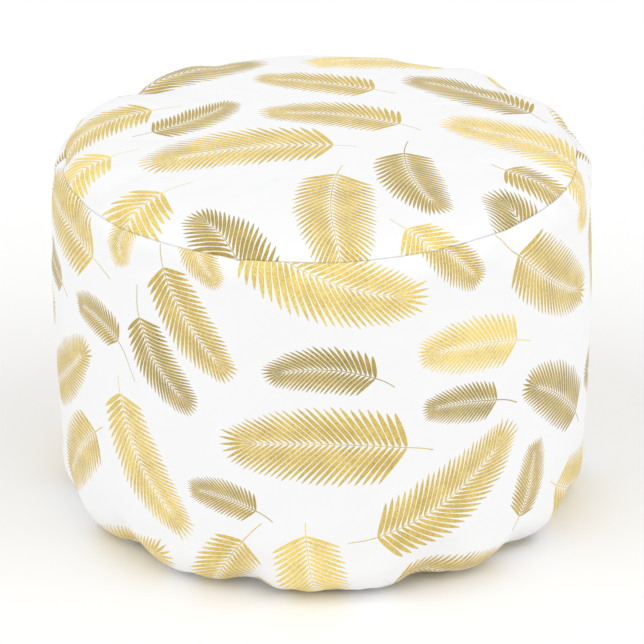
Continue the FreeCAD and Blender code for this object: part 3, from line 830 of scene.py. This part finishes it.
def dress(made, slot):
    """Gives a new piece its slot and that slot's material."""
    made.data.materials.clear()
    made.data.materials.append(MATERIALS[slot])
    return made


# ---- the cover's panels ----

CLOTH = 1.0 * MM
HALF_GAP = 0.06 * MM  # between a seam's line and the edge of each panel's face
ROLL_REACH, ROLL_DEPTH = 3 * MM, 0.6 * MM
SIDE_ROLL_REACH, SIDE_ROLL_DEPTH = 2.2 * MM, 1.2 * MM


def denser_at_ends(count, amount):
    share = np.linspace(0, 1, count)
    return share - amount * np.sin(2 * math.pi * share)


def band_panel(name, node, middle):
    """Half of the side band. middle is the azimuth of its middle."""
    edge = math.pi / 2 - 0.3 * MM / RADIUS
    local, portion = np.meshgrid(np.linspace(-edge, edge, 351), denser_at_ends(141, 0.09))
    azimuth = (local + middle + math.pi) % (2 * math.pi) - math.pi
    top, base = top_seam(azimuth) + HALF_GAP, BASE_SEAM - HALF_GAP
    along = top + (base - top) * portion
    side = (math.pi / 2 - np.abs(local)) * RADIUS
    depth = seam_roll(along - top, ROLL_REACH, ROLL_DEPTH)
    depth = np.maximum(depth, seam_roll(base - along, ROLL_REACH, ROLL_DEPTH))
    depth = np.maximum(depth, seam_roll(side, SIDE_ROLL_REACH, SIDE_ROLL_DEPTH))
    made = make_object(name, cover_point(azimuth, along, depth), grid_faces(*azimuth.shape))
    flat = np.stack([local / MM * RADIUS, -along / MM], -1).reshape(-1, 2)
    print_fronds(made, flat, BAND_FRONDS)
    thicken(made, CLOTH)
    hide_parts(node)
    return dress(made, "printed_cloth")


def disc(name, middle, edge, rings, around, depth_at, lift_at=None):
    """A round skin from the middle of the top or base to an edge along the cloth, as an object and
    each of its points on the flat. depth_at takes the distance from the edge."""
    azimuth, share = np.meshgrid(
        np.linspace(-math.pi, math.pi, around, endpoint=False), np.linspace(0.012, 1, rings)
    )
    share = share * 1.35 - 0.35 * share**2
    along = middle + (edge(azimuth) - middle) * share
    points = cover_point(azimuth, along, depth_at(np.abs(edge(azimuth) - along))).reshape(-1, 3)
    reach = abs(float(edge(0.0)) - middle)
    centre = cover_point(0.0, middle, depth_at(np.array(reach))).reshape(-1, 3)
    points = np.concatenate([points, centre])
    if lift_at is not None:
        points[:, 2] += lift_at(points[:, 0], points[:, 1])
    faces = grid_faces(*azimuth.shape, closed=True)
    faces += [[k, (k + 1) % around, len(points) - 1] for k in range(around)]
    if middle > 0:
        faces = [face[::-1] for face in faces]
    made = make_object(name, points, faces)
    across = np.interp(along, ALONG, ACROSS)
    flat = np.stack([across * np.sin(azimuth), -across * np.cos(azimuth)], -1).reshape(-1, 2) / MM
    return made, np.concatenate([flat, [[0.0, 0.0]]])


def top_panel():
    made, flat = disc(
        "cover_top", TOP_MIDDLE, lambda a: top_seam(a) - HALF_GAP, 104, 460,
        lambda apart: seam_roll(apart, ROLL_REACH, ROLL_DEPTH),
    )
    print_fronds(made, flat, ROUND_FRONDS)
    thicken(made, CLOTH)
    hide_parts("top_panel")
    return dress(made, "printed_cloth")


TROUGH_SLOPE = math.tan(math.radians(39))
# half the length, half the width and the height of the zipper's trough, in each layer
COVER_TROUGH = 176 * MM, 16 * MM, 8 * MM
BAG_TROUGH = 183 * MM, 22 * MM, 8.8 * MM
FILLING_TROUGH = 184.5 * MM, 23.5 * MM, 9 * MM
SLIT_HALF_LENGTH, SLIT_HALF_WIDTH, JOIN_HALF_GAP = 163 * MM, 5 * MM, 0.4 * MM


def trough(x, y, half_length, half_width, height):
    """How high a trough with sloping walls lies over each place on the base."""
    inside = np.minimum(half_length - np.abs(x), half_width - np.abs(y))
    return np.clip(inside * TROUGH_SLOPE, 0, height)


def base_panel(name, node, side):
    """A half-moon of the base, with its half of the zipper's trough. side is -1 at the front."""
    seam_radius = float(np.interp(BASE_SEAM + HALF_GAP, ALONG, ACROSS))
    turn, share = np.meshgrid(
        np.linspace(-math.pi / 2, math.pi / 2, 343)[1:-1], np.linspace(0, 1, 90)
    )
    x = seam_radius * np.sin(turn)
    slit = 1 - smooth(SLIT_HALF_LENGTH - 1.5 * MM, SLIT_HALF_LENGTH, np.abs(x))
    near = JOIN_HALF_GAP + (SLIT_HALF_WIDTH - JOIN_HALF_GAP) * slit
    far = seam_radius * np.cos(turn)
    y = side * (near + (np.maximum(far, near) - near) * (0.5 - 0.5 * np.cos(math.pi * share)))
    azimuth, across = np.arctan2(x, -y), np.hypot(x, y)
    corner = np.arcsin(np.clip((across - BASE_FLAT) / BASE_CORNER, 0, 1)) * BASE_CORNER
    along = BASE_MIDDLE - np.minimum(across, BASE_FLAT) - corner
    depth = seam_roll(along - BASE_SEAM - HALF_GAP, ROLL_REACH, ROLL_DEPTH * 0.7)
    points = cover_point(azimuth, along, np.maximum(depth, 0))
    points[..., 2] += trough(x, y, *COVER_TROUGH)
    faces = grid_faces(*x.shape)
    if side < 0:
        faces = [face[::-1] for face in faces]
    made = make_object(name, points, faces)
    flat = np.stack([-x, y], -1).reshape(-1, 2) / MM
    print_fronds(made, flat, ROUND_FRONDS)
    thicken(made, CLOTH)
    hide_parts(node)
    return dress(made, "printed_cloth")


# ---- the inner bag and the filling ----

BAG_DEPTH, BAG_CLOTH, FILLING_DEPTH = 3.8 * MM, 0.6 * MM, 4.7 * MM
BAG_TOP_SEAM = TOP_CORNER * math.pi / 4
BAG_BASE_SEAM = BASE_MIDDLE - BASE_FLAT - BASE_CORNER * math.pi / 4


def inner_bag():
    """The bag that holds the filling: a top, a band and a base that lies over the trough."""
    top, _ = disc(
        "inner_bag_top", TOP_MIDDLE, lambda a: BAG_TOP_SEAM + 0 * a, 60, 240,
        lambda apart: BAG_DEPTH + 0 * apart,
    )
    base, _ = disc(
        "inner_bag_base", BASE_MIDDLE, lambda a: BAG_BASE_SEAM + 0 * a, 110, 400,
        lambda apart: BAG_DEPTH + 0 * apart,
        lambda x, y: trough(x, y, *BAG_TROUGH),
    )
    azimuth, along = np.meshgrid(
        np.linspace(-math.pi, math.pi, 360, endpoint=False),
        np.linspace(BAG_TOP_SEAM + HALF_GAP, BAG_BASE_SEAM - HALF_GAP, 90),
    )
    faces = grid_faces(*azimuth.shape, closed=True)
    band = make_object("inner_bag_band", cover_point(azimuth, along, BAG_DEPTH), faces)
    for piece, node in ((top, "liner_top"), (band, "liner_band"), (base, "liner_base")):
        thicken(piece, BAG_CLOTH)
        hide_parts(node)
        dress(piece, "liner_cloth")


def filling():
    """The beads, as one closed body of the bag's shape."""
    around = 300
    rows = np.concatenate([
        np.linspace(TOP_MIDDLE + 3 * MM, 0, 40)[:-1],
        np.linspace(0, BASE_MIDDLE - BASE_FLAT, 100)[:-1],
        np.linspace(BASE_MIDDLE - BASE_FLAT, BASE_MIDDLE - 3 * MM, 110),
    ])
    azimuth, along = np.meshgrid(np.linspace(-math.pi, math.pi, around, endpoint=False), rows)
    points = cover_point(azimuth, along, FILLING_DEPTH).reshape(-1, 3)
    ends = cover_point([0.0, 0.0], [TOP_MIDDLE, BASE_MIDDLE], FILLING_DEPTH)
    points = np.concatenate([points, ends])
    low = points[:, 2] < BASE_CORNER
    points[low, 2] += trough(points[low, 0], points[low, 1], *FILLING_TROUGH)
    faces = grid_faces(*azimuth.shape, closed=True)
    last = len(points) - 2 - around
    faces += [[k, (k + 1) % around, len(points) - 2] for k in range(around)]
    faces += [[last + (k + 1) % around, last + k, len(points) - 1] for k in range(around)]
    made = make_object("bead_filling", points, faces)
    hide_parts("filling")
    return dress(made, "filling")


# ---- seam threads ----

STITCH = 3 * MM


def stitch_wave(length):
    """How far a thread rises over its stitches, at four points to a stitch."""
    count = int(length / STITCH) * 4
    return np.linspace(0, 1, count, endpoint=False), np.resize([0.0, 0.25, 0.35, 0.25], count) * MM


def ring_thread(name, node, along_at, depth):
    share, rise = stitch_wave(2 * math.pi * RADIUS)
    azimuth = share * 2 * math.pi - math.pi
    path = cover_point(azimuth, along_at(azimuth), depth - rise)
    made = tube(name, path, 0.3 * MM, closed=True)
    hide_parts(node)
    return dress(made, "thread")


def upright_thread(name, node, azimuth):
    start, end = float(top_seam(azimuth)) + 3 * MM, BASE_SEAM - 3 * MM
    share, rise = stitch_wave(end - start)
    path = cover_point(np.full(len(share), azimuth), start + (end - start) * share, 1.3 * MM - rise)
    made = tube(name, path, 0.28 * MM)
    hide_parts(node)
    return dress(made, "thread")


# ---- the zipper, kept from the CAD but for its stitches and coils ----


def topstitching(name, node, side):
    """A row of separate stitches along one side of the zipper, on the trough's wall."""
    length, rest, sides = 2.4 * MM, 0.6 * MM, 6
    half_row, radius = 165 * MM, 0.28 * MM
    offset = side * 8.2 * MM
    turn = np.linspace(0, 2 * math.pi, sides, endpoint=False)
    points, faces = [], []
    low = float(trough(0.0, offset, *COVER_TROUGH))
    for start in np.arange(-half_row, half_row, length + rest):
        first = len(points)
        for share, size in ((0, 0.4), (0.15, 0.9), (0.5, 1.0), (0.85, 0.9), (1, 0.4)):
            sink = 0.25 * MM * (2 * share - 1) ** 2
            for t in turn:
                points.append((
                    start + length * share,
                    offset + radius * size * math.cos(t),
                    low - 0.05 * MM + sink + radius * size * math.sin(t),
                ))
        for ring in range(4):
            for k in range(sides):
                a, b = first + ring * sides + k, first + ring * sides + (k + 1) % sides
                faces.append([a, b, b + sides, a + sides])
        faces.append([first + k for k in reversed(range(sides))])
        faces.append([first + 4 * sides + k for k in range(sides)])
    made = make_object(name, points, faces)
    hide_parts(node)
    return dress(made, "thread")


def coil(name, node, side):
    """One side of the zipper's coil, a wound nylon wire that fills the CAD's row of teeth."""
    low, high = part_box(node)
    wire, pitch, steps = 0.27 * MM, 1.3 * MM, 12
    turns = int((high.x - low.x - 2 * wire) / pitch)
    angle = np.linspace(0, 2 * math.pi * turns, turns * steps)
    half_y, half_z = (high.y - low.y) / 2 - wire, (high.z - low.z) / 2 - wire
    path = np.stack([
        low.x + wire + pitch * angle / (2 * math.pi),
        (low.y + high.y) / 2 + side * half_y * np.cos(angle),
        (low.z + high.z) / 2 + half_z * np.sin(angle),
    ], -1)
    made = tube(name, path, wire)
    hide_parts(node)
    return dress(made, "zipper_coil")


def soften(node, width):
    """Rounds a CAD piece's sharp edges a little."""
    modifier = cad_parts[node].modifiers.new("rounded edges", "BEVEL")
    modifier.width = width
    modifier.segments = 3
    modifier.limit_method = "ANGLE"
    modifier.harden_normals = True


def cad_pieces():
    """Materials for the CAD nodes that stay, and rounded edges on the zipper's metal."""
    kept = {
        "thread": ["base_join_thread_left", "base_join_thread_right"],
        "label_cloth": ["care_label"],
        "zipper_tape": ["zipper_tape_front", "zipper_tape_back"],
        "zipper_metal": ["zipper_top_stops", "zipper_bottom_stop", "zipper_slider", "zipper_pull"],
    }
    for slot, nodes in kept.items():
        for node in nodes:
            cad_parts[node].data.materials.clear()
            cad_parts[node].data.materials.append(MATERIALS[slot])
    soften("zipper_slider", 0.25 * MM)
    soften("zipper_pull", 0.25 * MM)
    soften("zipper_top_stops", 0.2 * MM)
    soften("zipper_bottom_stop", 0.2 * MM)


# ---- assembly ----

cover = [
    top_panel(),
    band_panel("cover_band_front", "side_panel_front", 0.0),
    band_panel("cover_band_back", "side_panel_back", math.pi),
    base_panel("cover_base_front", "base_panel_front", -1),
    base_panel("cover_base_back", "base_panel_back", 1),
]
inner_bag()
filling()
ring_thread("top_thread", "top_seam_thread", top_seam, 1.8 * MM)
ring_thread("base_thread", "base_seam_thread", lambda a: BASE_SEAM + 0 * a, 1.8 * MM)
ring_thread("inner_top_thread", "liner_top_thread", lambda a: BAG_TOP_SEAM + 0 * a, 3.9 * MM)
ring_thread("inner_base_thread", "liner_base_thread", lambda a: BAG_BASE_SEAM + 0 * a, 3.9 * MM)
upright_thread("side_thread_right", "side_seam_thread_right", math.pi / 2)
upright_thread("side_thread_left", "side_seam_thread_left", -math.pi / 2)
for word, side in (("front", -1), ("back", 1)):
    topstitching(f"topstitching_{word}", f"zipper_stitching_{word}", side)
    coil(f"coil_{word}", f"zipper_coil_{word}", side)
cad_pieces()

# ---- floor, light and camera ----


def sun(name, azimuth, elevation, strength, angle):
    """A soft distant light from that side of the pouf and that height, in degrees."""
    data = bpy.data.lights.new(name, "SUN")
    data.energy, data.angle = strength, math.radians(angle)
    lamp = bpy.data.objects.new(name, data)
    bpy.context.collection.objects.link(lamp)
    flat, lift = math.radians(azimuth), math.radians(elevation)
    level = math.cos(lift)
    towards = Vector((math.sin(flat) * level, -math.cos(flat) * level, math.sin(lift)))
    lamp.rotation_euler = towards.to_track_quat("Z", "Y").to_euler()


def studio():
    bpy.ops.mesh.primitive_plane_add(size=30)
    floor = bpy.context.object
    floor.name = "floor"
    material, _, _ = new_material("floor", (0.95, 0.95, 0.95), 0.9, Specular_IOR_Level=0.0)
    floor.data.materials.append(material)
    world = bpy.data.worlds.new("studio")
    bpy.context.scene.world = world
    world.use_nodes = True
    background = world.node_tree.nodes["Background"]
    background.inputs["Color"].default_value = (1, 1, 1, 1)
    background.inputs["Strength"].default_value = 0.745
    sun("key", -60, 44, 0.68, 50)
    sun("fill", 62, 44, 0.76, 60)


def camera():
    data = bpy.data.cameras.new("camera")
    data.lens, data.sensor_width = 187, 36
    data.clip_end = 50
    seat = bpy.data.objects.new("camera", data)
    bpy.context.collection.objects.link(seat)
    elevation, distance = math.radians(25.9), 3.188
    target = Vector((0, 0, 0.168))
    back = Vector((0, -math.cos(elevation), math.sin(elevation)))
    seat.location = target + back * distance
    seat.rotation_euler = (-back).to_track_quat("-Z", "Y").to_euler()
    bpy.context.scene.camera = seat
    bpy.context.scene.view_settings.view_transform = "Standard"


studio()
camera()
